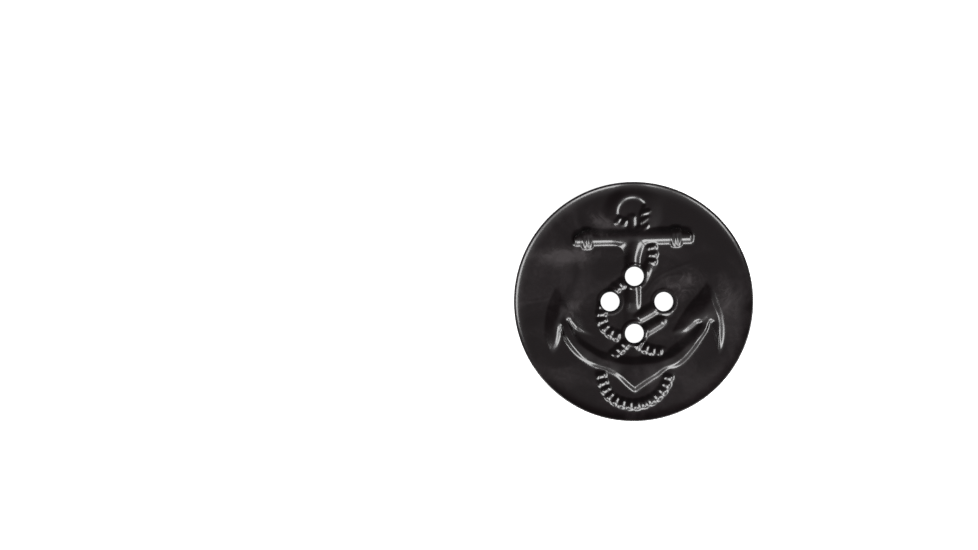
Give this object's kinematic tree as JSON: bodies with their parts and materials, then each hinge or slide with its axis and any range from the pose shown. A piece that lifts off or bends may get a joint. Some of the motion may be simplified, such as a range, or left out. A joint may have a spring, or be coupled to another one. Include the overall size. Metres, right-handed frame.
{
  "type": "sew-on button",
  "caption": "Round moulded coat button with a raised rim, a raised anchor and rope on its sunk face, a flat back and round thread holes.",
  "frame": {"origin": "centre of the flat back face", "axes": "+Z out of the decorated face, +Y from the crown of the anchor towards its ring, +X to the right as the face is seen"},
  "size_m": [0.035, 0.035, 0.004],
  "materials": {
    "moulded_plastic": "semi-gloss, warm black, compression moulded"
  },
  "bodies": {
    "root": {"button_moulding": "moulded_plastic"}
  },
  "joints": []
}
